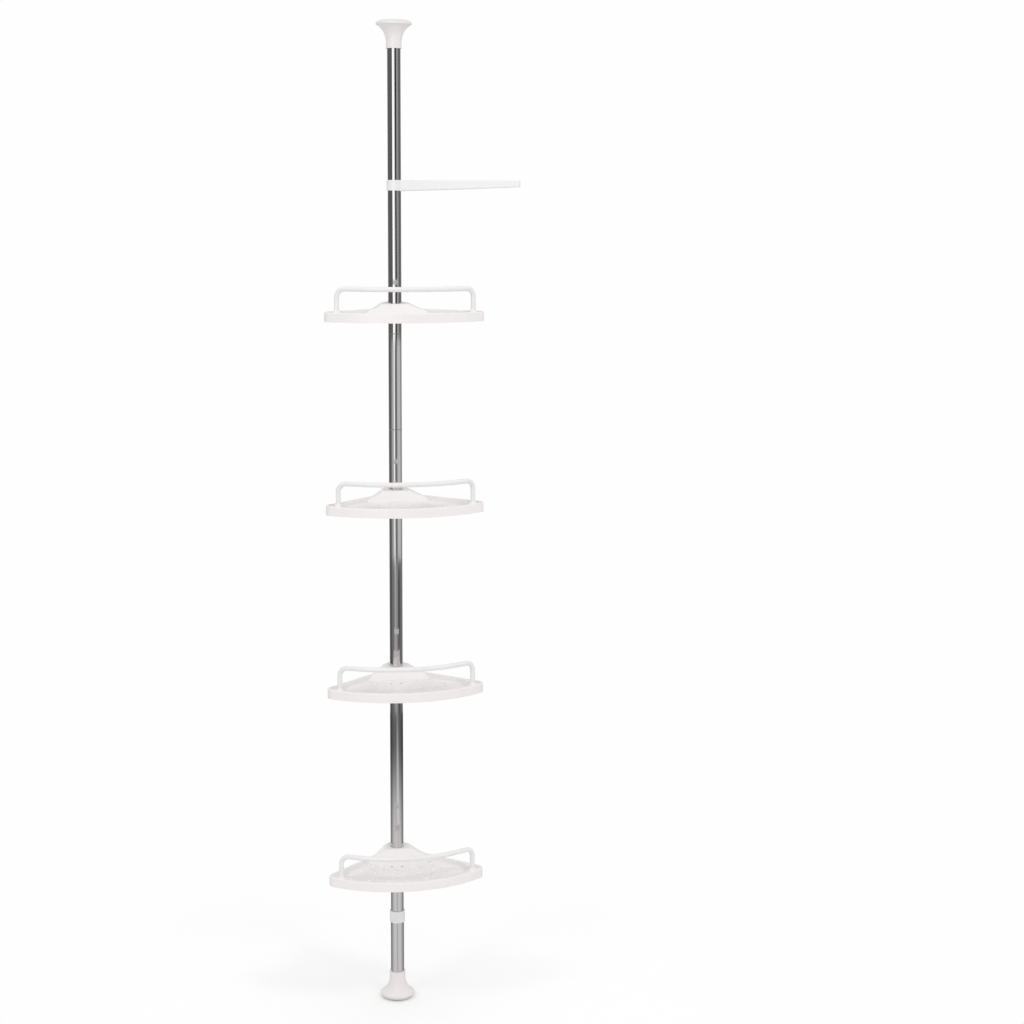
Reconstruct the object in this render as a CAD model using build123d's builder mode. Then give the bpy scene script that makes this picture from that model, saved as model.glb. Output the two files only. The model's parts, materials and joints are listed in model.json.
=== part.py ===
from build123d import *
from math import asin, atan, cos, degrees, hypot, radians, sin, tan
import os

os.makedirs("parts", exist_ok=True)

# A corner shower caddy: four quarter-round shelves and a towel arm on a pole that a spring wedges
# between floor and ceiling. Z = 0 is the floor, the pole stands on the Z axis and the shelves open
# towards -Y. Sizes are in millimetres.

# Pole tubes, from the floor up
TUBE_DIAMETER = 25.0
TUBE_WALL = 0.4
TUBE_END_CHAMFER = 0.15
BASE_TUBE_LENGTH = 147.0
LOWER_TUBE_LENGTH = 513.3
MIDDLE_TUBE_LENGTH = 477.0
EXTENSION_TUBE_LENGTH = 180.5
UPPER_TUBE_LENGTH = 558.0

# Fits
SLIDE_GAP = 0.05  # radial gap of a running or sliding fit
END_GAP = 0.2  # gap between end faces that meet at a stop
FREE_GAP = 0.4  # gap between pieces that only pass each other
GUIDE_GAP = 0.1  # radial gap between the lower tube and the base tube that it slides in

# Couplers inside the tube joints
COUPLER_REACH = 40.0  # length inside each tube
COUPLER_FLANGE = 1.0  # thickness of the flange between the tube ends
COUPLER_STEP = 0.2  # how far the flange stands out from the plug
COUPLER_WALL = 3.0

# Feet, the same moulding at the floor and at the ceiling
FOOT_RADIUS = 33.0
FOOT_HEIGHT = 46.1  # above the pad
FOOT_NECK_WALL = 2.2
FOOT_NECK_LENGTH = 12.5  # straight part of the neck
FOOT_LIP_HEIGHT = 2.1  # straight edge above the pad
FOOT_LIP_ROUND = 2.0
FOOT_WEB = 3.0  # wall that the tube's end rests on
FLOOR_PAD_HEIGHT = 7.4
CEILING_PAD_HEIGHT = 4.6
PAD_FLAT_RADIUS = 22.0  # its edge is rounded from here to the foot's radius
SPIGOT_STEP = 6.0  # pad spigot radius beyond the base tube's radius
SPIGOT_HEIGHT = 5.0
SPIGOT_CLEARANCE = 2.6  # space between the spigot and the web

# Spring and the tip of the pole that presses on it
SEAT_HEIGHT = 6.0
SPRING_LENGTH = 102.0  # with the pole at full height
SPRING_TURNS = 10
SPRING_WIRE = 2.0
SPRING_SIDE_GAP = 1.8  # from the coil to the tube
SPRING_POST_GAP = 0.5  # from the coil to the posts inside it
SPRING_POST_HEIGHT = 6.0
TIP_FLANGE_HEIGHT = 12.0
TIP_PLUG_HEIGHT = 15.0

# Lock collar and the slotted collet that it closes on the lower tube
COLLET_HEAD_HEIGHT = 10.0
COLLET_SLOT_WIDTH = 1.5
COLLET_SLOT_COUNT = 4
COLLET_SLOT_DEPTH = 8.0
COLLAR_GAP = 0.1  # radial gap to the base tube
COLLAR_WALL = 1.65
COLLAR_SKIRT = 10.2  # length over the base tube
COLLAR_LIP = 2.7
COLLAR_ROUND = 0.8

# Shelf trays: quarter circles about a corner behind the pole
SHELF_RADIUS = 218.0
SHELF_SETBACK = 30.0  # from the pole's axis back to the corner
HALF_CORNER_ANGLE = 45.0  # degrees from the middle of the tray to its straight edges
FRONT_DIRECTION = -90.0  # degrees, the way that the middle of the tray points
SHELF_CORNER = 18.0
SKIRT_HEIGHT = 17.6
SKIRT_WALL = 2.4
RIM_WIDTH = 5.0
RIM_ROUND = 2.2
RECESS_DEPTH = 10.0
RECESS_CORNER = 52.0
RECESS_ROUND = 3.0
RECESS_EDGE_ROUND = 1.2
FLOOR_THICKNESS = 1.2
RIB_THICKNESS = 1.8
RIB_HEIGHT = 5.0

# Heights of the rim tops above the lower end of the tube that carries each shelf
SHELF_1_RISE = 47.7  # on the upper tube
SHELF_2_RISE = 353.3  # on the middle tube
SHELF_3_RISE = 10.0  # on the middle tube
SHELF_4_RISE = 161.2  # on the lower tube

# Hub that rises round the pole at the back of each tray
HUB_HEIGHT = 10.0  # above the rim, at the pole's axis
HUB_SLOPE = 6.0  # degrees by which its top falls towards the front
HUB_TOP_WIDTH = 52.0
HUB_FOOT_WIDTH = 138.0  # where its flanks run out at the rim
HUB_SHOULDER = 4.0  # rounding of the top edges
HUB_LAND = 4.0  # length of the top in front of the pole
HUB_FRONT_RUN = 22.0  # length of the steep front, from the top to the floor
HUB_FRONT_ROUND = 10.0  # between the steep front and the floor
HUB_TOE = 15.0  # length of the toe that runs into the floor
HUB_SINK = 0.6  # how far the toe and the flanks run in below the surface they meet
HUB_WALL = 3.0
BOSS_WALL = 2.5

# Drain holes in staggered rings about the corner
HOLE_DIAMETER = 7.0
HOLE_FIRST_RING = 96.0
HOLE_RING_STEP = 20.5
HOLE_EDGE_MARGIN = 35.0  # least distance from the outer ring to the tray's edge
HOLE_ANGLE_STEP = 12.0  # degrees
HOLE_STEPS_PER_SIDE = 3

# Two-piece clip under each hub
CLIP_HEIGHT = 6.0  # top of the clip above the rim
CLIP_TOP_WALL = 1.95
CLIP_BOTTOM_WALL = 3.95
CLIP_FLANGE_WALL = 5.95
CLIP_FLANGE_HEIGHT = 4.0
CLIP_SPLIT = 0.8  # gap between the halves

# Guard rail on each tray
RAIL_DIAMETER = 9.0
RAIL_INSET = 12.0  # from the tray's curved edge in to the middle of the bar
POST_INSET = 28.4  # from the tray's straight edges in to the middle of the posts
RAIL_HEIGHT = 42.0  # middle of the bar above the rim
RAIL_BEND = 16.0
RAIL_SOCKET_DEPTH = 9.0
POST_BOSS_HEIGHT = 4.0  # cone round each post, above the rim
POST_BOSS_FOOT = 2.4  # how far the cone stands out from the post at the rim
POST_BOSS_EDGE = 0.6  # and at its top

# Towel arm and the split sleeve that carries it
ARM_RISE = 284.3  # top of the arm above the lower end of the upper tube
ARM_TURN = -20.0  # degrees from +X
ARM_REACH = 236.0  # from the pole's axis to the tip
ARM_ROOT_HEIGHT = 20.6
ARM_TIP_HEIGHT = 12.0
ARM_BELLY = 0.7  # how far the underside bows down
ARM_ROOT_WIDTH = 14.0
ARM_TIP_WIDTH = 9.0
ARM_ROUND = 2.0
SLEEVE_HEIGHT = 19.2
SLEEVE_WALL = 0.6
SLEEVE_BEAD = 0.4  # bead round the sleeve that keeps the ring in place
SLEEVE_BEAD_HEIGHT = 4.0
SLEEVE_SPLIT = 2.0
ARM_RING_WALL = 1.3

# Sizes that follow
tube_radius = TUBE_DIAMETER / 2
tube_inner = tube_radius - TUBE_WALL
base_inner = tube_radius + GUIDE_GAP
base_radius = base_inner + TUBE_WALL
spigot_radius = base_radius + SPIGOT_STEP

web_depth = SPIGOT_HEIGHT + SPIGOT_CLEARANCE
seat_depth = web_depth + FOOT_WEB
tube_seat = FLOOR_PAD_HEIGHT + seat_depth
base_tube_end = tube_seat + BASE_TUBE_LENGTH
spring_bottom = tube_seat + SEAT_HEIGHT
tip_bottom = spring_bottom + SPRING_LENGTH + END_GAP
collet_top = base_tube_end + COLLET_HEAD_HEIGHT

lower_start = tip_bottom + TIP_FLANGE_HEIGHT
middle_start = lower_start + LOWER_TUBE_LENGTH
extension_start = middle_start + MIDDLE_TUBE_LENGTH
upper_start = extension_start + EXTENSION_TUBE_LENGTH
upper_end = upper_start + UPPER_TUBE_LENGTH
ceiling_foot_end = upper_end + seat_depth

rim_heights = (
    upper_start + SHELF_1_RISE,
    middle_start + SHELF_2_RISE,
    middle_start + SHELF_3_RISE,
    lower_start + SHELF_4_RISE,
)

clip_bore = tube_radius + SLIDE_GAP
clip_top_radius = clip_bore + CLIP_TOP_WALL
clip_bottom_radius = clip_bore + CLIP_BOTTOM_WALL
sleeve_radius = clip_bore + SLEEVE_WALL
half_corner = radians(HALF_CORNER_ANGLE)
hub_slope = radians(HUB_SLOPE)
hub_back_rise = HUB_HEIGHT + SHELF_SETBACK * tan(hub_slope)
hole_rings = int((SHELF_RADIUS - HOLE_EDGE_MARGIN - HOLE_FIRST_RING) / HOLE_RING_STEP) + 1

coil_radius = base_inner - SPRING_SIDE_GAP - SPRING_WIRE / 2
spring_post = coil_radius - SPRING_WIRE / 2 - SPRING_POST_GAP

# Posts of the guard rail, and the ends of its curve a bend before them
rail_radius = RAIL_DIAMETER / 2
curve_radius = SHELF_RADIUS - RAIL_INSET
post_reach = hypot(curve_radius, RAIL_BEND)
post_angle = half_corner - asin(POST_INSET / post_reach)
post_x = post_reach * sin(post_angle)
post_y = SHELF_SETBACK - post_reach * cos(post_angle)
curve_angle = post_angle - atan(RAIL_BEND / curve_radius)
curve_x = curve_radius * sin(curve_angle)
curve_y = SHELF_SETBACK - curve_radius * cos(curve_angle)


def save(piece, name):
    """Label a finished piece and write its file."""
    piece.part.label = name
    export_step(piece.part, f"parts/{name}.step")


def turned(name, profile):
    """A round piece about the pole's axis, from the (radius, height) corners of its section."""
    with BuildPart() as piece:
        with BuildSketch(Plane.XZ):
            with BuildLine():
                Polyline(*profile, close=True)
            make_face()
        revolve(axis=Axis.Z)
    save(piece, name)


def tube(name, start, end, outer):
    """A plain tube with broken edges at both ends."""
    inner = outer - TUBE_WALL
    edge = TUBE_END_CHAMFER
    turned(name, [
        (inner, start),
        (outer - edge, start),
        (outer, start + edge),
        (outer, end - edge),
        (outer - edge, end),
        (inner, end),
    ])


def coupler(name, joint):
    """A hollow plug that joins two tubes, with a thin flange between their ends."""
    bore = tube_inner - COUPLER_WALL
    flange = tube_inner + COUPLER_STEP
    bottom = joint - COUPLER_FLANGE / 2
    top = joint + COUPLER_FLANGE / 2
    turned(name, [
        (bore, bottom - COUPLER_REACH),
        (tube_inner, bottom - COUPLER_REACH),
        (tube_inner, bottom),
        (flange, bottom),
        (flange, top),
        (tube_inner, top),
        (tube_inner, top + COUPLER_REACH),
        (bore, top + COUPLER_REACH),
    ])


def foot(name, plane, socket):
    """A trumpet-shaped foot; the plane lies on its pad and its Y axis points towards the tube."""
    neck_radius = socket + FOOT_NECK_WALL
    flare_top = FOOT_HEIGHT - FOOT_NECK_LENGTH
    flare_foot = (FOOT_RADIUS - FOOT_LIP_ROUND, FOOT_LIP_HEIGHT + FOOT_LIP_ROUND)
    with BuildPart() as piece:
        with BuildSketch(plane):
            with BuildLine():
                Polyline(
                    (neck_radius, flare_top),
                    (neck_radius, FOOT_HEIGHT),
                    (socket, FOOT_HEIGHT),
                    (socket, seat_depth),
                    (0, seat_depth),
                    (0, web_depth),
                    (spigot_radius, web_depth),
                    (spigot_radius, 0),
                    (FOOT_RADIUS, 0),
                    (FOOT_RADIUS, FOOT_LIP_HEIGHT),
                )
                RadiusArc((FOOT_RADIUS, FOOT_LIP_HEIGHT), flare_foot, -FOOT_LIP_ROUND)
                TangentArc((neck_radius, flare_top), flare_foot, tangent=(0, -1))
            make_face()
        revolve(axis=Axis.Z)
    save(piece, name)


def pad(name, plane, height):
    """The soft end pad of a foot, with a rounded edge and a spigot that plugs into the foot."""
    with BuildPart() as piece:
        with BuildSketch(plane):
            with BuildLine():
                TangentArc((PAD_FLAT_RADIUS, -height), (FOOT_RADIUS, 0), tangent=(1, 0))
                Polyline(
                    (FOOT_RADIUS, 0),
                    (spigot_radius, 0),
                    (spigot_radius, SPIGOT_HEIGHT),
                    (0, SPIGOT_HEIGHT),
                    (0, -height),
                    (PAD_FLAT_RADIUS, -height),
                )
            make_face()
        revolve(axis=Axis.Z)
    save(piece, name)


def quarter_outline(plane, inset, corner, core=0.0):
    """The tray's outline, moved in by an inset; a core about the pole can be left out of it."""
    radius = SHELF_RADIUS - inset
    corner_angle = half_corner - asin(inset / radius)
    corner_x = radius * sin(corner_angle)
    corner_y = SHELF_SETBACK - radius * cos(corner_angle)
    back_y = SHELF_SETBACK - inset / sin(half_corner)
    back_round = SHELF_SETBACK * sin(half_corner) - inset
    with BuildSketch(plane) as outline:
        with BuildLine():
            ThreePointArc((-corner_x, corner_y), (0, SHELF_SETBACK - radius), (corner_x, corner_y))
            Polyline((corner_x, corner_y), (0, back_y), (-corner_x, corner_y))
        make_face()
        back_corner = outline.vertices().sort_by(Axis.Y)[-1]
        fillet(back_corner, back_round)
        front_corners = outline.vertices().sort_by(Axis.Y)[:2]
        fillet(front_corners, corner)
        if core > 0:
            Circle(core, mode=Mode.SUBTRACT)
    return outline.sketch


def hub_mound(rim, inset, core, rounded):
    """The hub over a rim height: a steep front between curved flanks, cut to the tray's outline."""
    floor = rim - RECESS_DEPTH
    top = rim + HUB_HEIGHT
    back_top = rim + hub_back_rise
    land_front = -tube_radius - HUB_LAND
    land_top = top + land_front * tan(hub_slope)
    slope_foot = land_front - HUB_FRONT_RUN
    toe_end = slope_foot - HUB_TOE
    toe_height = floor - HUB_SINK
    base_bottom = toe_height - SHELF_SETBACK * tan(hub_slope)
    flank_foot = rim - HUB_SINK
    half_top = HUB_TOP_WIDTH / 2
    half_foot = HUB_FOOT_WIDTH / 2
    with BuildPart() as mound:
        with BuildSketch(Plane.YZ) as side_section:
            with BuildLine():
                Polyline(
                    (SHELF_SETBACK, toe_height),
                    (toe_end, toe_height),
                    (slope_foot, floor),
                    (land_front, land_top),
                    (SHELF_SETBACK, back_top),
                    close=True,
                )
            make_face()
            if rounded:
                fillet(side_section.vertices().group_by(Axis.Y)[1], HUB_FRONT_ROUND)
                fillet(side_section.vertices().group_by(Axis.Y)[-2], HUB_SHOULDER)
        extrude(amount=SHELF_RADIUS, both=True)
        with BuildSketch(Plane.XZ) as front_section:
            with BuildLine():
                TangentArc((-half_foot, flank_foot), (-half_top, top), tangent=(1, 0))
                TangentArc((half_foot, flank_foot), (half_top, top), tangent=(-1, 0))
                Line((-half_top, top), (half_top, top))
                Polyline(
                    (-half_foot, flank_foot),
                    (-SHELF_RADIUS, flank_foot),
                    (-SHELF_RADIUS, base_bottom),
                    (SHELF_RADIUS, base_bottom),
                    (SHELF_RADIUS, flank_foot),
                    (half_foot, flank_foot),
                )
            make_face()
            if rounded:
                fillet(front_section.vertices().group_by(Axis.Y)[-1], HUB_SHOULDER)
        along_top = (0, cos(hub_slope), sin(hub_slope))
        extrude(amount=SHELF_RADIUS, dir=along_top, both=True, mode=Mode.INTERSECT)
        bounds = quarter_outline(Plane.XY.offset(toe_height), inset, SHELF_CORNER, core)
        extrude(bounds, amount=back_top - toe_height, mode=Mode.INTERSECT)
    return mound.part


def tray(name, rim):
    """A quarter-round tray whose rim top lies at the given height."""
    floor = rim - RECESS_DEPTH
    floor_bottom = floor - FLOOR_THICKNESS
    skirt_bottom = rim - SKIRT_HEIGHT
    seat_bottom = clip_bottom_radius + SLIDE_GAP
    seat_top = clip_top_radius + SLIDE_GAP
    seat_end = rim + CLIP_HEIGHT + FREE_GAP
    pole_way = tube_radius + FREE_GAP
    boss_radius = seat_bottom + BOSS_WALL
    hub_top = rim + hub_back_rise
    mound = hub_mound(rim, 0, 0, True)
    hollow = hub_mound(rim - HUB_WALL, SKIRT_WALL, boss_radius, False)

    with BuildPart() as piece:
        # Rim, skirt and floor
        extrude(quarter_outline(Plane.XY.offset(skirt_bottom), 0, SHELF_CORNER), amount=SKIRT_HEIGHT)
        fillet(piece.faces().sort_by(Axis.Z)[-1].edges(), RIM_ROUND)
        recess = quarter_outline(Plane.XY.offset(floor), RIM_WIDTH, RECESS_CORNER)
        extrude(recess, amount=RECESS_DEPTH, mode=Mode.SUBTRACT)
        fillet(piece.faces().filter_by(Axis.Z).sort_by(Axis.Z)[-2].edges(), RECESS_ROUND)
        fillet(piece.faces().sort_by(Axis.Z)[-1].inner_wires().edges(), RECESS_EDGE_ROUND)

        # Hub over a hollow, with a boss round the pole
        add(mound)
        underside = Plane.XY.offset(skirt_bottom)
        pocket = quarter_outline(underside, SKIRT_WALL, SHELF_CORNER - SKIRT_WALL, boss_radius)
        extrude(pocket, amount=floor_bottom - skirt_bottom, mode=Mode.SUBTRACT)
        add(hollow, mode=Mode.SUBTRACT)

        # Tapered seat for the clip, and the pole's way through the top
        with BuildSketch(Plane.XZ):
            with BuildLine():
                Polyline(
                    (0, skirt_bottom),
                    (seat_bottom, skirt_bottom),
                    (seat_top, rim + CLIP_HEIGHT),
                    (seat_top, seat_end),
                    (pole_way, seat_end),
                    (pole_way, hub_top),
                    (0, hub_top),
                    close=True,
                )
            make_face()
        revolve(axis=Axis.Z, mode=Mode.SUBTRACT)

        # Curved ribs under the floor, between the rings of drain holes
        with BuildSketch(Plane.XY.offset(floor_bottom - RIB_HEIGHT)):
            for ring in range(0, hole_rings, 2):
                rib_radius = HOLE_FIRST_RING + ring * HOLE_RING_STEP + HOLE_RING_STEP / 2
                rib_angle = HALF_CORNER_ANGLE - degrees(asin(SKIRT_WALL / 2 / rib_radius))
                rib_start = FRONT_DIRECTION - rib_angle
                with BuildLine() as rib:
                    CenterArc((0, SHELF_SETBACK), rib_radius, rib_start, 2 * rib_angle)
                trace(rib.line, RIB_THICKNESS)
        extrude(amount=RIB_HEIGHT)

        # Drain holes
        with BuildSketch(Plane.XY.offset(floor_bottom)):
            for ring in range(hole_rings):
                steps = 2 * HOLE_STEPS_PER_SIDE - ring % 2
                sweep_angle = steps * HOLE_ANGLE_STEP
                first_angle = FRONT_DIRECTION - sweep_angle / 2
                ring_radius = HOLE_FIRST_RING + ring * HOLE_RING_STEP
                with Locations((0, SHELF_SETBACK)):
                    with PolarLocations(ring_radius, steps + 1, first_angle, sweep_angle, endpoint=True):
                        Circle(HOLE_DIAMETER / 2)
        extrude(amount=FLOOR_THICKNESS, mode=Mode.SUBTRACT)

        # Cones and sockets for the posts of the guard rail
        with Locations((-post_x, post_y, rim), (post_x, post_y, rim)):
            Cone(
                rail_radius + POST_BOSS_FOOT,
                rail_radius + POST_BOSS_EDGE,
                POST_BOSS_HEIGHT,
                align=(Align.CENTER, Align.CENTER, Align.MIN),
            )
        with BuildSketch(Plane.XY.offset(rim + POST_BOSS_HEIGHT)):
            with Locations((-post_x, post_y), (post_x, post_y)):
                Circle(rail_radius)
        extrude(amount=-POST_BOSS_HEIGHT - RAIL_SOCKET_DEPTH, mode=Mode.SUBTRACT)
    save(piece, name)


def guard_rail(name, rim):
    """A bent bar: two posts, two bends and a front that follows the tray's curve."""
    bar = rim + RAIL_HEIGHT
    post_top = bar - RAIL_BEND
    post_bottom = rim - RAIL_SOCKET_DEPTH
    with BuildPart() as piece:
        with BuildLine() as path:
            left_post = Line((-post_x, post_y, post_bottom), (-post_x, post_y, post_top))
            left_bend = TangentArc(left_post @ 1, (-curve_x, curve_y, bar), tangent=left_post % 1)
            front_middle = (0, SHELF_SETBACK - curve_radius, bar)
            front = ThreePointArc(left_bend @ 1, front_middle, (curve_x, curve_y, bar))
            right_bend = TangentArc(front @ 1, (post_x, post_y, post_top), tangent=front % 1)
            Line(right_bend @ 1, (post_x, post_y, post_bottom))
        with BuildSketch(Plane(path.line @ 0, z_dir=path.line % 0)):
            Circle(rail_radius)
        sweep()
    save(piece, name)


def clip_half(name, rim, side):
    """One half of the tapered clip; side is -1 for the left half and 1 for the right half."""
    skirt_bottom = rim - SKIRT_HEIGHT
    flange_top = skirt_bottom - FREE_GAP
    flange_bottom = flange_top - CLIP_FLANGE_HEIGHT
    with BuildPart() as piece:
        with BuildSketch(Plane.XZ):
            with BuildLine():
                Polyline(
                    (clip_bore, flange_bottom),
                    (clip_bore + CLIP_FLANGE_WALL, flange_bottom),
                    (clip_bore + CLIP_FLANGE_WALL, flange_top),
                    (clip_bottom_radius, flange_top),
                    (clip_bottom_radius, skirt_bottom),
                    (clip_top_radius, rim + CLIP_HEIGHT),
                    (clip_bore, rim + CLIP_HEIGHT),
                    close=True,
                )
            make_face()
        revolve(axis=Axis.Z)
        split(bisect_by=Plane((side * CLIP_SPLIT / 2, 0, 0), z_dir=(side, 0, 0)), keep=Keep.TOP)
    save(piece, name)


def split_sleeve(name, top):
    """The thin sleeve under the towel arm's ring: a bead round its middle and a split behind."""
    bottom = top - SLEEVE_HEIGHT
    bead_bottom = bottom + (SLEEVE_HEIGHT - SLEEVE_BEAD_HEIGHT) / 2
    bead_top = bead_bottom + SLEEVE_BEAD_HEIGHT
    bead_radius = sleeve_radius + SLEEVE_BEAD
    with BuildPart() as piece:
        with BuildSketch(Plane.XZ):
            with BuildLine():
                Polyline(
                    (clip_bore, bottom),
                    (sleeve_radius, bottom),
                    (sleeve_radius, bead_bottom),
                    (bead_radius, bead_bottom),
                    (bead_radius, bead_top),
                    (sleeve_radius, bead_top),
                    (sleeve_radius, top),
                    (clip_bore, top),
                    close=True,
                )
            make_face()
        revolve(axis=Axis.Z)
        with BuildSketch(Plane.XY.offset(bottom)):
            with Locations((0, bead_radius)):
                Rectangle(SLEEVE_SPLIT, 2 * bead_radius)
        extrude(amount=SLEEVE_HEIGHT, mode=Mode.SUBTRACT)
    save(piece, name)


def towel_arm(name, top):
    """The arm: a tapered bar that grows out of a ring on the sleeve."""
    bottom = top - ARM_ROOT_HEIGHT - ARM_BELLY
    ring_bottom = top - SLEEVE_HEIGHT
    ring_bore = sleeve_radius + SLIDE_GAP
    groove_height = SLEEVE_BEAD_HEIGHT + 2 * END_GAP
    groove_bottom = ring_bottom + (SLEEVE_HEIGHT - groove_height) / 2
    along = Vector(1, 0, 0).rotate(Axis.Z, ARM_TURN)
    side_plane = Plane((0, 0, top), x_dir=along, z_dir=along.cross(Vector(0, 0, 1)))
    plan_plane = Plane((0, 0, bottom), x_dir=along, z_dir=(0, 0, 1))
    with BuildPart() as piece:
        with BuildSketch(side_plane):
            with BuildLine():
                SagittaArc((0, -ARM_ROOT_HEIGHT), (ARM_REACH, -ARM_TIP_HEIGHT), -ARM_BELLY)
                Polyline((ARM_REACH, -ARM_TIP_HEIGHT), (ARM_REACH, 0), (0, 0), (0, -ARM_ROOT_HEIGHT))
            make_face()
        extrude(amount=ARM_ROOT_WIDTH / 2, both=True)
        with BuildSketch(plan_plane):
            with BuildLine():
                Polyline(
                    (0, ARM_ROOT_WIDTH / 2),
                    (ARM_REACH, ARM_TIP_WIDTH / 2),
                    (ARM_REACH, -ARM_TIP_WIDTH / 2),
                    (0, -ARM_ROOT_WIDTH / 2),
                    close=True,
                )
            make_face()
        extrude(amount=top - bottom, mode=Mode.INTERSECT)
        fillet(piece.edges(), ARM_ROUND)
        with BuildSketch(Plane.XY.offset(ring_bottom)):
            Circle(ring_bore + ARM_RING_WALL)
        extrude(amount=SLEEVE_HEIGHT)
        with BuildSketch(Plane.XY.offset(bottom)):
            Circle(ring_bore)
        extrude(amount=top - bottom, mode=Mode.SUBTRACT)
        with BuildSketch(Plane.XY.offset(groove_bottom)):
            Circle(ring_bore + SLEEVE_BEAD)
        extrude(amount=groove_height, mode=Mode.SUBTRACT)
    save(piece, name)


def spring_seat(name):
    """The plug at the bottom of the base tube, with a post that centres the spring."""
    turned(name, [
        (0, tube_seat),
        (base_inner, tube_seat),
        (base_inner, spring_bottom),
        (spring_post, spring_bottom),
        (spring_post, spring_bottom + SPRING_POST_HEIGHT),
        (0, spring_bottom + SPRING_POST_HEIGHT),
    ])


def tension_spring(name):
    """The compression spring between the seat and the tip of the pole."""
    rise = SPRING_LENGTH - SPRING_WIRE
    with BuildPart() as piece:
        with BuildLine() as coil:
            Helix(rise / SPRING_TURNS, rise, coil_radius, center=(0, 0, spring_bottom + SPRING_WIRE / 2))
        with BuildSketch(Plane(coil.line @ 0, z_dir=coil.line % 0)):
            Circle(SPRING_WIRE / 2)
        sweep()
    save(piece, name)


def plunger_tip(name):
    """The tip of the pole: a post in the spring, a guide in the base tube and a plug in the lower tube."""
    guide = base_inner - SLIDE_GAP
    turned(name, [
        (0, tip_bottom - SPRING_POST_HEIGHT),
        (spring_post, tip_bottom - SPRING_POST_HEIGHT),
        (spring_post, tip_bottom),
        (guide, tip_bottom),
        (guide, lower_start),
        (tube_inner, lower_start),
        (tube_inner, lower_start + TIP_PLUG_HEIGHT),
        (0, lower_start + TIP_PLUG_HEIGHT),
    ])


def lock_collet(name):
    """The slotted ring on the end of the base tube, round the lower tube."""
    bore = tube_radius + SLIDE_GAP
    with BuildPart() as piece:
        with BuildSketch(Plane.XZ):
            with BuildLine():
                Polyline(
                    (bore, base_tube_end),
                    (base_radius, base_tube_end),
                    (base_radius, collet_top),
                    (bore, collet_top),
                    close=True,
                )
            make_face()
        revolve(axis=Axis.Z)
        with BuildSketch(Plane.XY.offset(collet_top)):
            with PolarLocations(base_radius, COLLET_SLOT_COUNT):
                Rectangle(base_radius, COLLET_SLOT_WIDTH)
        extrude(amount=-COLLET_SLOT_DEPTH, mode=Mode.SUBTRACT)
    save(piece, name)


def lock_collar(name):
    """The turning ring over the end of the base tube and the collet."""
    inner = base_radius + COLLAR_GAP
    outer = inner + COLLAR_WALL
    bottom = base_tube_end - COLLAR_SKIRT
    lip_bottom = collet_top + END_GAP
    with BuildPart() as piece:
        with BuildSketch(Plane.XZ):
            with BuildLine():
                Polyline(
                    (inner, bottom),
                    (outer, bottom),
                    (outer, lip_bottom + COLLAR_LIP),
                    (tube_radius + FREE_GAP, lip_bottom + COLLAR_LIP),
                    (tube_radius + FREE_GAP, lip_bottom),
                    (inner, lip_bottom),
                    close=True,
                )
            make_face()
        revolve(axis=Axis.Z)
        outer_edges = piece.edges().filter_by(GeomType.CIRCLE).group_by(SortBy.RADIUS)[-1]
        fillet(outer_edges, COLLAR_ROUND)
    save(piece, name)


# Base: foot, base tube, spring and lock
floor_plane = Plane((0, 0, FLOOR_PAD_HEIGHT), x_dir=(1, 0, 0), z_dir=(0, -1, 0))
foot("floor_foot", floor_plane, base_radius)
pad("floor_pad", floor_plane, FLOOR_PAD_HEIGHT)
tube("base_tube", tube_seat, base_tube_end, base_radius)
spring_seat("spring_seat")
tension_spring("tension_spring")
lock_collet("lock_collet")
lock_collar("lock_collar")

# Pole: tip, tubes and their couplers, ceiling foot
half_flange = COUPLER_FLANGE / 2
plunger_tip("plunger_tip")
tube("lower_tube", lower_start, middle_start - half_flange, tube_radius)
coupler("lower_coupler", middle_start)
tube("middle_tube", middle_start + half_flange, extension_start - half_flange, tube_radius)
coupler("middle_coupler", extension_start)
tube("extension_tube", extension_start + half_flange, upper_start - half_flange, tube_radius)
coupler("upper_coupler", upper_start)
tube("upper_tube", upper_start + half_flange, upper_end, tube_radius)
ceiling_plane = Plane((0, 0, ceiling_foot_end), x_dir=(1, 0, 0), z_dir=(0, 1, 0))
foot("ceiling_foot", ceiling_plane, tube_radius)
pad("ceiling_pad", ceiling_plane, CEILING_PAD_HEIGHT)

# Shelves, numbered from the top
for number, rim_height in enumerate(rim_heights, start=1):
    clip_half(f"shelf_{number}_clip_left", rim_height, -1)
    clip_half(f"shelf_{number}_clip_right", rim_height, 1)
    tray(f"shelf_{number}_tray", rim_height)
    guard_rail(f"shelf_{number}_rail", rim_height)

# Towel arm
arm_top = upper_start + ARM_RISE
split_sleeve("arm_sleeve", arm_top)
towel_arm("towel_arm", arm_top)
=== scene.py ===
import bpy
import json
from math import atan2, cos, degrees, radians, sin
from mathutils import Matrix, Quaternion, Vector


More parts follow.
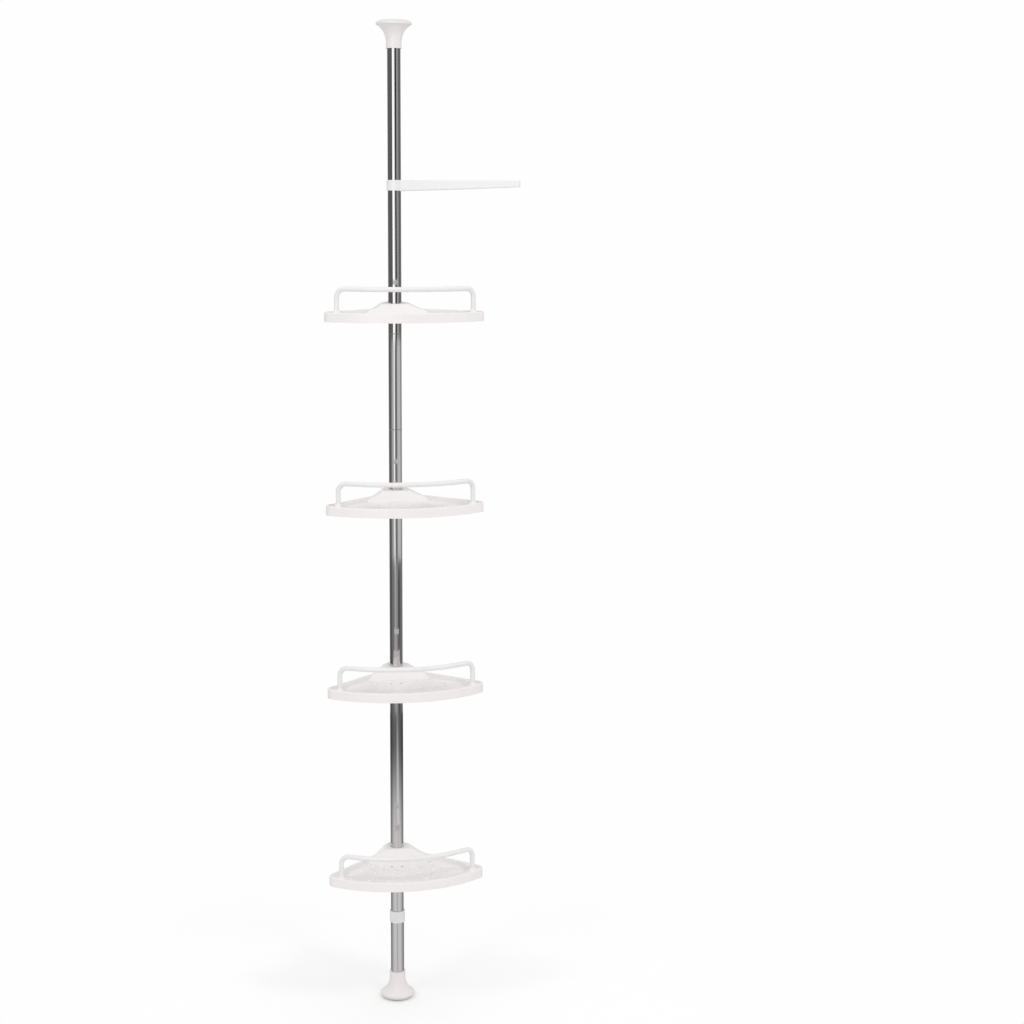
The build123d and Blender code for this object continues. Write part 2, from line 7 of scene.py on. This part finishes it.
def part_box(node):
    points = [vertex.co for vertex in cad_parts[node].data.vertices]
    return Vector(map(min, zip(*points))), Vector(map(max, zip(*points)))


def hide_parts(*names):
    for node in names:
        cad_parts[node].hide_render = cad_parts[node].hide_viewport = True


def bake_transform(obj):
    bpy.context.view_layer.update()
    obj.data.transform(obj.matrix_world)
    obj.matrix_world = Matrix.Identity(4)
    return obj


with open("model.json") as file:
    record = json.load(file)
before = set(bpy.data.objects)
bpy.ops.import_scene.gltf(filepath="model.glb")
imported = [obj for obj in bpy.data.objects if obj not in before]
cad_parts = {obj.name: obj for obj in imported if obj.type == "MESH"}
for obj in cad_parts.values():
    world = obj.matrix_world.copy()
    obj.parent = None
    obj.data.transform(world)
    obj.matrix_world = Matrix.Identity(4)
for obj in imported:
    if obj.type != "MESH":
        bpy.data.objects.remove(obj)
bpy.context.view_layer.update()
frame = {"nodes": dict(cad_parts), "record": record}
nodes = frame["nodes"]
scene = bpy.context.scene
scene.view_settings.view_transform = "Standard"

MM = 0.001  # lengths are in metres


def linear(hex_colour):
    """An sRGB hex colour as linear red, green, blue and alpha."""
    channels = [int(hex_colour[i:i + 2], 16) / 255 for i in (1, 3, 5)]
    return [c / 12.92 if c <= 0.04045 else ((c + 0.055) / 1.055) ** 2.4 for c in channels] + [1.0]


def add_node(tree, kind, inputs=(), **settings):
    """Adds a node with its settings; an input takes a value, or a link where that is a socket."""
    node = tree.nodes.new(kind)
    for name, value in settings.items():
        setattr(node, name, value)
    for name, value in dict(inputs).items():
        if isinstance(value, bpy.types.NodeSocket):
            tree.links.new(value, node.inputs[name])
        else:
            node.inputs[name].default_value = value
    return node


def ramp(tree, value, start, end, first, last, smooth=False):
    """A value that goes from first to last while another goes from start to end."""
    node = add_node(
        tree, "ShaderNodeMapRange",
        {"Value": value, "From Min": start, "From Max": end, "To Min": first, "To Max": last},
        interpolation_type="SMOOTHSTEP" if smooth else "LINEAR",
    )
    return node.outputs["Result"]


def combined(tree, operation, *values):
    """The result of an operation on one or two values."""
    node = add_node(tree, "ShaderNodeMath", dict(enumerate(values)), operation=operation)
    return node.outputs["Value"]


def measured(tree, operation, *vectors):
    """A number measured on one or two vectors, such as the distance between them."""
    node = add_node(tree, "ShaderNodeVectorMath", dict(enumerate(vectors)), operation=operation)
    return node.outputs["Value"]


def noise(tree, place, size, detail):
    """Noise with patches of about the size given."""
    node = add_node(
        tree, "ShaderNodeTexNoise",
        {"Vector": place, "Scale": 1 / size, "Detail": detail},
    )
    return node.outputs["Fac"]


def seen_directly(tree, ray):
    """1 for a ray from the camera, off a gloss or through glass, and 0 for one of soft light."""
    seen = combined(tree, "MAXIMUM", ray["Is Camera Ray"], ray["Is Glossy Ray"])
    return combined(tree, "MAXIMUM", seen, ray["Is Transmission Ray"])


def new_material(name):
    """An empty node material and its output node."""
    material = bpy.data.materials.new(name)
    material.use_nodes = True
    material.node_tree.nodes.clear()
    return material, add_node(material.node_tree, "ShaderNodeOutputMaterial")


NOISE_SPREAD = (0.3, 0.7)  # most of a noise texture lies between these values
FLOW_MARKS = 45 * MM
HANDLING_MARKS = 14 * MM
MOULD_GRAIN = 1.2 * MM  # about 0.3 mm in a real mould, drawn larger so that it shows
GRAIN_STRENGTH = 0.25
PLASTIC_IOR = 1.49


def moulded_plastic(name, tones, roughness, grain_depth):
    """Plastic from a mould: its tone drifts with the flow, and a fine grain softens its gloss."""
    material, output = new_material(name)
    tree = material.node_tree
    place = add_node(tree, "ShaderNodeTexCoord").outputs["Object"]
    light_tone, dark_tone = tones
    flow = noise(tree, place, FLOW_MARKS, detail=3.0)
    tone = add_node(
        tree, "ShaderNodeMix",
        {"Factor": flow, "A": linear(dark_tone), "B": linear(light_tone)},
        data_type="RGBA",
    )
    gloss = noise(tree, place, HANDLING_MARKS, detail=4.0)
    grain = noise(tree, place, MOULD_GRAIN, detail=2.0)
    bump = add_node(
        tree, "ShaderNodeBump",
        {"Height": grain, "Strength": GRAIN_STRENGTH, "Distance": grain_depth},
    )
    shader = add_node(
        tree, "ShaderNodeBsdfPrincipled",
        {
            "Base Color": tone.outputs["Result"],
            "Roughness": ramp(tree, gloss, *NOISE_SPREAD, *roughness),
            "Normal": bump.outputs["Normal"],
            "IOR": PLASTIC_IOR,
        },
    )
    tree.links.new(shader.outputs["BSDF"], output.inputs["Surface"])
    return material


def drawn_metal(name, colour, roughness, line_width, line_length):
    """A bright metal with faint lines along its length, left by drawing and polishing."""
    material, output = new_material(name)
    tree = material.node_tree
    place = add_node(tree, "ShaderNodeTexCoord").outputs["Object"]
    stretched = add_node(
        tree, "ShaderNodeMapping",
        {"Vector": place, "Scale": (1 / line_width, 1 / line_width, 1 / line_length)},
    )
    lines = noise(tree, stretched.outputs["Vector"], size=1.0, detail=2.0)
    shader = add_node(
        tree, "ShaderNodeBsdfPrincipled",
        {
            "Base Color": linear(colour),
            "Metallic": 1.0,
            "Roughness": ramp(tree, lines, *NOISE_SPREAD, *roughness),
        },
    )
    tree.links.new(shader.outputs["BSDF"], output.inputs["Surface"])
    return material


finishes = {
    # Steel tube with polished chromium plate: a mirror with faint lines along the tube
    "pole_chrome": drawn_metal(
        "chromium_plate_polished", "#D0CECF", roughness=(0.04, 0.10),
        line_width=1.5 * MM, line_length=240 * MM,
    ),
    # Hard-drawn spring wire: bright but not plated
    "spring_steel": drawn_metal(
        "spring_wire_drawn", "#A9A8A6", roughness=(0.22, 0.36),
        line_width=1.0 * MM, line_length=30 * MM,
    ),
    # Polypropylene of the shelves, injection moulded: a slightly warm white with a soft sheen
    "shelf_plastic": moulded_plastic(
        "polypropylene_moulded", tones=("#F4F1F0", "#F0ECEB"), roughness=(0.30, 0.42),
        grain_depth=0.03 * MM,
    ),
    # The same plastic drawn over the wire of the rails: a little smoother, and less warm
    "rail_coat": moulded_plastic(
        "polypropylene_sleeve", tones=("#EFEDED", "#ECEAEA"), roughness=(0.24, 0.34),
        grain_depth=0.015 * MM,
    ),
    # ABS, moulded, of the towel arm and the lock collar: a neutral white
    "arm_plastic": moulded_plastic(
        "white_abs_moulded", tones=("#EFEFEF", "#EBEBEB"), roughness=(0.28, 0.40),
        grain_depth=0.03 * MM,
    ),
    # ABS, moulded, of the feet: a greyer, warmer white
    "foot_plastic": moulded_plastic(
        "grey_white_abs_moulded", tones=("#EFEBEA", "#EAE6E5"), roughness=(0.30, 0.42),
        grain_depth=0.03 * MM,
    ),
    # Soft thermoplastic rubber of the end pads, moulded: matt, warm grey white
    "foot_pad": moulded_plastic(
        "soft_rubber_moulded", tones=("#E6E1DE", "#E0DBD7"), roughness=(0.55, 0.70),
        grain_depth=0.05 * MM,
    ),
    # Acetal of the hidden clips and sleeves, moulded: milky and matt
    "inner_plastic": moulded_plastic(
        "acetal_moulded", tones=("#ECEAE7", "#E6E4E0"), roughness=(0.42, 0.52),
        grain_depth=0.02 * MM,
    ),
    # Grey nylon of the couplers, moulded, seen only in the joints of the pole
    "coupler_plastic": moulded_plastic(
        "grey_nylon_moulded", tones=("#75767A", "#6A6B6F"), roughness=(0.45, 0.58),
        grain_depth=0.03 * MM,
    ),
}
for part in frame["record"]["subparts"]:
    nodes[part["node"]].material_slots[0].material = finishes[part["material_slot"]]

# Tension spring: a coil of wire that stands on its seat, wound in the space of the spring part,
# which is hidden in its place
SPRING_TURNS = 10
SPRING_WIRE = 2.0 * MM
WIRE_SIDES = 16
STEPS_PER_TURN = 40
SMOOTH_ANGLE = radians(40)

spring_low, spring_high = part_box("tension_spring")
coil_radius = spring_high[0] - SPRING_WIRE / 2
coil_rise = spring_high[2] - spring_low[2] - SPRING_WIRE
bpy.ops.object.select_all(action="DESELECT")
bpy.ops.mesh.primitive_circle_add(vertices=WIRE_SIDES, radius=SPRING_WIRE / 2)
coil = bpy.context.object
coil.name = "tension_spring_coil"
bpy.ops.object.mode_set(mode="EDIT")
bpy.ops.transform.rotate(value=radians(90), orient_axis="X", center_override=(0, 0, 0))
bpy.ops.transform.translate(value=(coil_radius, 0, spring_low[2] + SPRING_WIRE / 2))
bpy.ops.object.mode_set(mode="OBJECT")
winding = coil.modifiers.new("winding", "SCREW")
winding.iterations = SPRING_TURNS
winding.screw_offset = coil_rise / SPRING_TURNS
winding.steps = STEPS_PER_TURN
winding.render_steps = STEPS_PER_TURN
bpy.ops.object.modifier_apply(modifier=winding.name)
bpy.ops.object.mode_set(mode="EDIT")
bpy.ops.mesh.select_all(action="SELECT")
bpy.ops.mesh.fill_holes(sides=0)
bpy.ops.mesh.normals_make_consistent(inside=False)
bpy.ops.object.mode_set(mode="OBJECT")
bpy.ops.object.shade_smooth_by_angle(angle=SMOOTH_ANGLE)
coil.data.materials.append(finishes["spring_steel"])
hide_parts("tension_spring")
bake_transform(coil)

# Camera: a long lens at a height between the top shelf and the towel arm, tilted down a little
IMAGE_WIDTH = 1024  # in pixels
FOCAL_PIXELS = 1950.0
SENSOR_WIDTH = 36.0  # in mm
CAMERA_DISTANCE = 3.67597  # from the pole's axis
CAMERA_HEIGHT = 1.5466
CAMERA_AZIMUTH = radians(8.168)  # round the pole, towards -X
CAMERA_HEADING = radians(3.4555)  # from the pole towards +X
CAMERA_PITCH = radians(8.9142)  # down
CAMERA_ROLL = radians(0.2943)

heading = CAMERA_AZIMUTH + CAMERA_HEADING
forward = Vector((
    sin(heading) * cos(CAMERA_PITCH),
    cos(heading) * cos(CAMERA_PITCH),
    -sin(CAMERA_PITCH),
))
bpy.ops.object.camera_add(location=(
    -CAMERA_DISTANCE * sin(CAMERA_AZIMUTH),
    -CAMERA_DISTANCE * cos(CAMERA_AZIMUTH),
    CAMERA_HEIGHT,
))
camera = bpy.context.object
camera.rotation_mode = "QUATERNION"
camera.rotation_quaternion = (
    forward.to_track_quat("-Z", "Y") @ Quaternion((0, 0, 1), CAMERA_ROLL)
)
camera.data.sensor_width = SENSOR_WIDTH
camera.data.lens = FOCAL_PIXELS / IMAGE_WIDTH * SENSOR_WIDTH
scene.camera = camera


def round_pole(azimuth, distance, height):
    """A place round the pole; the azimuth is in degrees from the camera, to its right."""
    angle = radians(azimuth) - CAMERA_AZIMUTH
    return Vector((distance * sin(angle), -distance * cos(angle), height))


# World: white where the camera, a gloss or glass looks at it, and an even light on the object that
# is a little stronger from above
BACKGROUND = "#FEFEFE"
SIDE_LIGHT = 0.80
OVERHEAD_LIGHT = 0.98

world = bpy.data.worlds.new("studio")
world.use_nodes = True
tree = world.node_tree
tree.nodes.clear()
ray = add_node(tree, "ShaderNodeLightPath").outputs
direction = add_node(tree, "ShaderNodeTexCoord").outputs["Generated"]
upwards = add_node(tree, "ShaderNodeSeparateXYZ", {"Vector": direction}).outputs["Z"]
dome = ramp(tree, upwards, 0.0, 1.0, SIDE_LIGHT, OVERHEAD_LIGHT)
strength = ramp(tree, seen_directly(tree, ray), 0.0, 1.0, dome, 1.0)
sky = add_node(
    tree, "ShaderNodeBackground",
    {"Color": linear(BACKGROUND), "Strength": strength},
)
add_node(tree, "ShaderNodeOutputWorld", {"Surface": sky.outputs["Background"]})
scene.world = world

# Floor: white to the camera, with a faint shadow that fades out round the foot. In the chrome it
# shows a painted reflection: painted light, brightest near the pole and in a painted pool of light
# before it, and painted shade towards the back and in a narrow band through the pole in line with
# the camera.
FLOOR_RADIUS = 2.4
FLOOR_SIDES = 96
FLOOR_BOUNCE = "#EEEEEE"
SHADOW_REACH = 0.85
NEAR_REACH, FAR_REACH = 0.9, 1.9
NEAR_GLOW, FAR_GLOW = 0.84, 0.17
BAND_INSIDE, BAND_OUTSIDE = 0.05, 0.3  # sines of the azimuth
BAND_SHARE = 0.72
POOL_CENTRE = round_pole(14, 1.6, 0)
POOL_RADIUS = 0.95
POOL_GLOW = 0.45
BACK_COSINE, FRONT_COSINE = -0.4, 0.6  # cosines of the azimuth
BACK_SHARE = 0.38

bpy.ops.object.select_all(action="DESELECT")
bpy.ops.mesh.primitive_circle_add(vertices=FLOOR_SIDES, radius=FLOOR_RADIUS, fill_type="NGON")
floor = bpy.context.object
floor.name = "studio_floor"
floor_paint, output = new_material("floor_paint_white")
tree = floor_paint.node_tree
ray = add_node(tree, "ShaderNodeLightPath").outputs
place = add_node(tree, "ShaderNodeTexCoord").outputs["Object"]
outwards = add_node(
    tree, "ShaderNodeVectorMath", {0: place}, operation="NORMALIZE",
).outputs["Vector"]
reach = measured(tree, "LENGTH", place)

# Painted reflection for the chrome: painted light that fades away from the pole, a narrow band of
# painted shade in line with the camera, a painted pool of light, and painted shade towards the
# back
near = ramp(tree, reach, NEAR_REACH, FAR_REACH, NEAR_GLOW, FAR_GLOW, smooth=True)
sideways = measured(tree, "DOT_PRODUCT", outwards, round_pole(90, 1, 0))
aside = combined(tree, "ABSOLUTE", sideways)
band = ramp(tree, aside, BAND_INSIDE, BAND_OUTSIDE, BAND_SHARE, 1.0, smooth=True)
from_pool = measured(tree, "DISTANCE", place, POOL_CENTRE)
pool = ramp(tree, from_pool, 0.0, POOL_RADIUS, POOL_GLOW, 0.0, smooth=True)
frontwards = measured(tree, "DOT_PRODUCT", outwards, round_pole(0, 1, 0))
front = ramp(tree, frontwards, BACK_COSINE, FRONT_COSINE, BACK_SHARE, 1.0)
glow = combined(tree, "ADD", combined(tree, "MULTIPLY", near, band), pool)
mirrored = combined(tree, "MULTIPLY", glow, front)
strength = ramp(tree, ray["Is Camera Ray"], 0.0, 1.0, mirrored, 1.0)
bright = add_node(
    tree, "ShaderNodeEmission",
    {"Color": linear(BACKGROUND), "Strength": strength},
).outputs["Emission"]

fading = ramp(tree, reach, 0.0, SHADOW_REACH, 1.0, 0.0, smooth=True)
shadow = combined(tree, "MULTIPLY", fading, ray["Is Camera Ray"])
lit = add_node(tree, "ShaderNodeBsdfDiffuse", {"Color": linear(BACKGROUND)}).outputs["BSDF"]
shown = add_node(tree, "ShaderNodeMixShader", {0: shadow, 1: bright, 2: lit}).outputs["Shader"]
bounce = add_node(tree, "ShaderNodeBsdfDiffuse", {"Color": linear(FLOOR_BOUNCE)}).outputs["BSDF"]
surface = add_node(
    tree, "ShaderNodeMixShader",
    {0: seen_directly(tree, ray), 1: bounce, 2: shown},
)
tree.links.new(surface.outputs["Shader"], output.inputs["Surface"])
floor.data.materials.append(floor_paint)

# Two studio lamps for the soft shadows on the floor: azimuth from the camera, and watts
LAMP_DISTANCE = 3.2
LAMP_HEIGHT = 3.5
LAMP_SIZE = 0.7
LAMP_AIM = Vector((0, 0, 0.95))

lamps = {"right_lamp": (34, 20), "left_lamp": (-37, 14)}
for name, (azimuth, watts) in lamps.items():
    bpy.ops.object.light_add(
        type="AREA", location=round_pole(azimuth, LAMP_DISTANCE, LAMP_HEIGHT),
    )
    lamp = bpy.context.object
    lamp.name = name
    lamp.data.size = LAMP_SIZE
    lamp.data.energy = watts
    lamp.rotation_euler = (LAMP_AIM - lamp.location).to_track_quat("-Z", "Y").to_euler()
    lamp.visible_glossy = False

# Studio panels that only the chrome and the gloss see, in rows from a bottom to a top. Each panel
# has the azimuths of its edges from the camera, and a brightness. The first row is two tall strips
# behind the object, which stand in place of the others there.
PANEL_DISTANCE = 2.2
PANEL_SIDES = 180
LOW_LEVEL, HIGH_LEVEL, PANEL_TOP = 0.48, 1.15, 3.0

panel_rows = [
    (0.0, PANEL_TOP, [(-166, -144, 0.9), (140, 158, 0.7)]),
    (HIGH_LEVEL, PANEL_TOP, [
        (-180, -32, 0.15), (-32, 0, 1.6), (0, 14, 0.7),
        (14, 36, 0.0), (36, 76, 0.42), (76, 180, 0.18),
    ]),
    (LOW_LEVEL, HIGH_LEVEL, [
        (-180, -75, 0.15), (-75, -54, 0.35), (-54, -24, 0.63), (-24, -5, 1.4),
        (-5, 35, 0.24), (35, 100, 0.72), (100, 180, 0.34),
    ]),
    (0.0, LOW_LEVEL, [
        (-180, -75, 0.13), (-75, -35, 0.24), (-35, -17, 0.36), (-17, 4, 0.54),
        (4, 35, 0.36), (35, 75, 0.12), (75, 180, 0.22),
    ]),
]
panels = [
    (left, right, bottom, top, brightness)
    for bottom, top, row in panel_rows for left, right, brightness in row
]
bpy.ops.object.select_all(action="DESELECT")
bpy.ops.mesh.primitive_cylinder_add(
    vertices=PANEL_SIDES, radius=PANEL_DISTANCE, depth=PANEL_TOP,
    location=(0, 0, PANEL_TOP / 2), end_fill_type="NOTHING",
)
surround = bpy.context.object
surround.name = "studio_panels"
bpy.ops.object.transform_apply(location=True, rotation=True, scale=True)
bpy.ops.object.mode_set(mode="EDIT")
for level in (LOW_LEVEL, HIGH_LEVEL):
    bpy.ops.mesh.select_all(action="SELECT")
    bpy.ops.mesh.bisect(plane_co=(0, 0, level), plane_no=(0, 0, 1))
bpy.ops.object.mode_set(mode="OBJECT")
for number, (*_, brightness) in enumerate(panels):
    paint, output = new_material(f"studio_panel_{number}")
    light = add_node(paint.node_tree, "ShaderNodeEmission", {"Strength": brightness})
    paint.node_tree.links.new(light.outputs["Emission"], output.inputs["Surface"])
    surround.data.materials.append(paint)
for face in surround.data.polygons:
    x, y, height = face.center
    azimuth = (degrees(atan2(x, -y) + CAMERA_AZIMUTH) + 180) % 360 - 180
    face.material_index = next(
        number for number, (left, right, bottom, top, _) in enumerate(panels)
        if left <= azimuth <= right and bottom < height < top
    )
surround.visible_camera = False
surround.visible_diffuse = False
surround.visible_shadow = False
surround.visible_transmission = False
